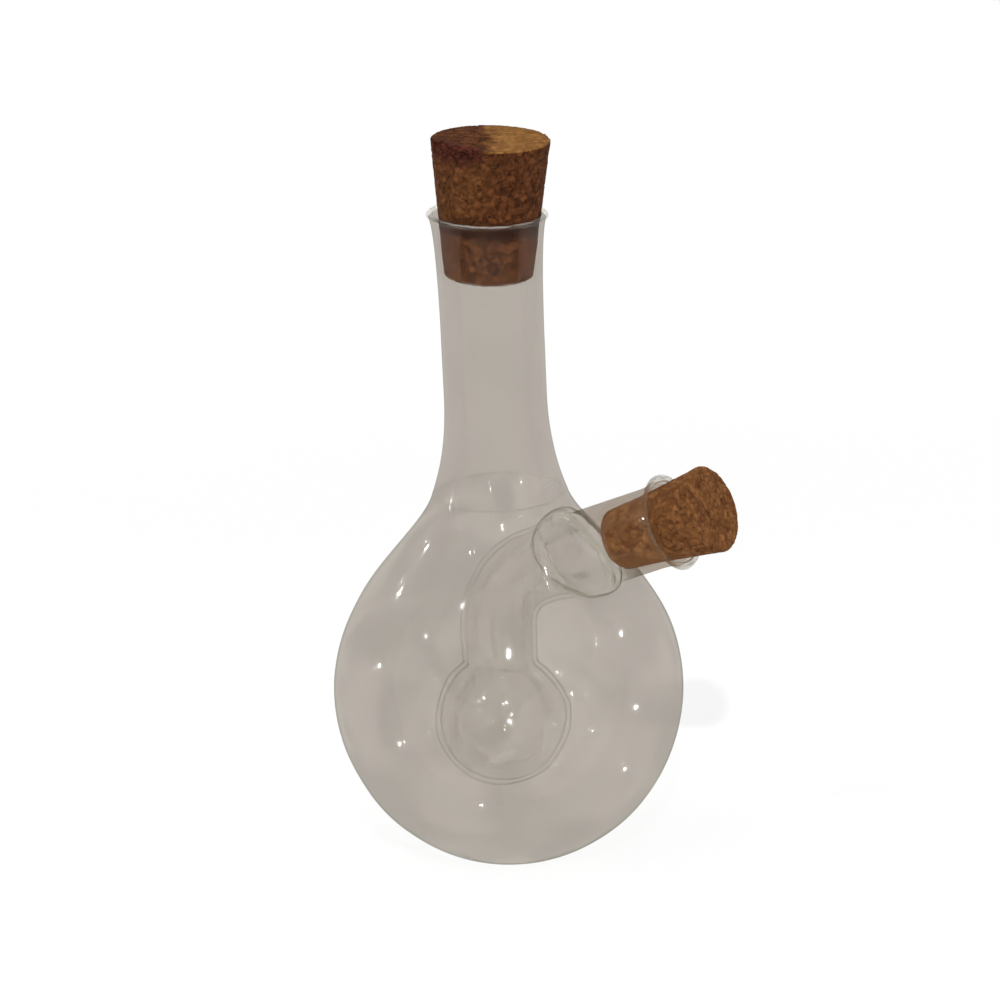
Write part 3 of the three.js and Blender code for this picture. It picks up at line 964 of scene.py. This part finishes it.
# Table
# A plain pale table top. It takes the flask's shadow near the foot, and further out it is as white as the
# room behind it.
table_mesh = bmesh.new()
bmesh.ops.create_grid(
    table_mesh, x_segments=1, y_segments=1, size=6, matrix=Matrix.Translation((0, 0, -0.02 * MM)),
)
table = fresh(table_mesh, "table")
table_paint = bpy.data.materials.new("pale table")
table_paint.use_nodes = True
table_nodes, table_links = table_paint.node_tree.nodes, table_paint.node_tree.links
table_surface = table_nodes["Principled BSDF"]
table_surface.inputs["Base Color"].default_value = (0.93, 0.93, 0.93, 1)
table_surface.inputs["Roughness"].default_value = 0.9
table_surface.inputs["Specular IOR Level"].default_value = 0.0


def seen_by_the_camera(nodes, links):
    """1 for what the camera sees straight, in a reflection or through glass."""
    path = nodes.new("ShaderNodeLightPath")
    figure = arithmetic(nodes, links)
    bounced = figure("MAXIMUM", path.outputs["Is Glossy Ray"], path.outputs["Is Transmission Ray"])
    return figure("MAXIMUM", path.outputs["Is Camera Ray"], bounced)


table_place = table_nodes.new("ShaderNodeTexCoord")
table_distance = table_nodes.new("ShaderNodeVectorMath")
table_distance.operation = "LENGTH"
table_links.new(table_place.outputs["Object"], table_distance.inputs[0])
shadow_reach = 0.1
white_from = 0.5
whitened = ranged(
    table_nodes, table_links, table_distance.outputs["Value"], shadow_reach, white_from, low=0.5,
)
whitened_share = arithmetic(table_nodes, table_links)(
    "MULTIPLY", whitened, seen_by_the_camera(table_nodes, table_links),
)
plain_white = table_nodes.new("ShaderNodeEmission")
table_mix = table_nodes.new("ShaderNodeMixShader")
table_links.new(whitened_share, table_mix.inputs["Fac"])
table_links.new(table_surface.outputs["BSDF"], table_mix.inputs[1])
table_links.new(plain_white.outputs["Emission"], table_mix.inputs[2])
table_links.new(table_mix.outputs["Shader"], table_nodes["Material Output"].inputs["Surface"])
table.data.materials.append(table_paint)

# Light
# A bright room, a soft lamp overhead, one lamp behind the photographer, and small ones round the room
# that give the glass its glints.
world = bpy.data.worlds.new("room")
world.use_nodes = True
world_nodes, world_links = world.node_tree.nodes, world.node_tree.links
room_strength = world_nodes.new("ShaderNodeMapRange")
room_strength.inputs["To Min"].default_value = 0.5
world_links.new(seen_by_the_camera(world_nodes, world_links), room_strength.inputs["Value"])
world_nodes["Background"].inputs["Color"].default_value = (1, 1, 1, 1)
world_links.new(room_strength.outputs["Result"], world_nodes["Background"].inputs["Strength"])
bpy.context.scene.world = world
lit_middle = Vector((0, 0, 80 * MM))


def lamp(name, azimuth, elevation, distance, radius, power):
    """A round lamp aimed at the flask, from an azimuth that is counted from the -Y side towards +X."""
    azimuth, elevation = math.radians(azimuth), math.radians(elevation)
    towards = Vector((
        math.sin(azimuth) * math.cos(elevation), -math.cos(azimuth) * math.cos(elevation),
        math.sin(elevation),
    ))
    light = bpy.data.lights.new(name, "AREA")
    light.shape = "DISK"
    light.size = radius * 2
    light.energy = power
    holder = bpy.data.objects.new(name, light)
    bpy.context.scene.collection.objects.link(holder)
    holder.location = lit_middle + towards * distance
    holder.rotation_euler = towards.to_track_quat("Z", "Y").to_euler()
    holder.visible_camera = False


lamp("overhead lamp", azimuth=10, elevation=78, distance=1.6, radius=0.5, power=5)
lamp("photographer's lamp", azimuth=31, elevation=37.5, distance=2.2, radius=0.026, power=17)
room_lamps = (
    (62, 24), (72, 9), (105, 28), (93, 53), (-21, 52), (-44, 33), (13, 12), (130, 20), (-93, 22),
    (-39, 61), (163, 66), (-73, 6),
)
for number, (azimuth, elevation) in enumerate(room_lamps):
    lamp(f"room lamp {number}", azimuth, elevation, distance=2.0, radius=0.018, power=1.8)

# Camera
# The photographer looked down at the flask a little, with the spout to the right, and held the camera
# slightly tilted.
camera_azimuth = math.radians(30.1)
camera_height = math.radians(18.3)
camera_tilt = math.radians(2.65)
camera_distance = 1.2
sensor = 36.0
image_width = 1000
focal_pixels = 4459
aimed_at = Vector((0, 0, 90 * MM))
image_shift = Vector((-0.274, 30.85)) / focal_pixels
outward = Vector((
    math.sin(camera_azimuth) * math.cos(camera_height),
    -math.cos(camera_azimuth) * math.cos(camera_height),
    math.sin(camera_height),
))
level = Vector((math.cos(camera_azimuth), math.sin(camera_azimuth), 0))
upward = outward.cross(level)
eye = aimed_at + outward * camera_distance
backward = (outward - level * image_shift.x - upward * image_shift.y).normalized()
right = (level - backward * level.dot(backward)).normalized()
top = backward.cross(right)
camera_data = bpy.data.cameras.new("camera")
camera_data.sensor_width = sensor
camera_data.lens = focal_pixels / image_width * sensor
camera = bpy.data.objects.new("camera", camera_data)
bpy.context.scene.collection.objects.link(camera)
tilted_right = right * math.cos(camera_tilt) - top * math.sin(camera_tilt)
tilted_top = right * math.sin(camera_tilt) + top * math.cos(camera_tilt)
camera_turn = Matrix((tilted_right, tilted_top, backward)).transposed().to_4x4()
camera.matrix_world = Matrix.Translation(eye) @ camera_turn
bpy.context.scene.camera = camera
bpy.context.scene.view_settings.view_transform = "Standard"
rays = bpy.context.scene.cycles
rays.max_bounces = 24
rays.transmission_bounces = 24
rays.transparent_max_bounces = 32
rays.caustics_reflective = False
rays.caustics_refractive = False
rays.sample_clamp_indirect = 6
rays.blur_glossy = 0
rays.denoising_input_passes = "RGB"
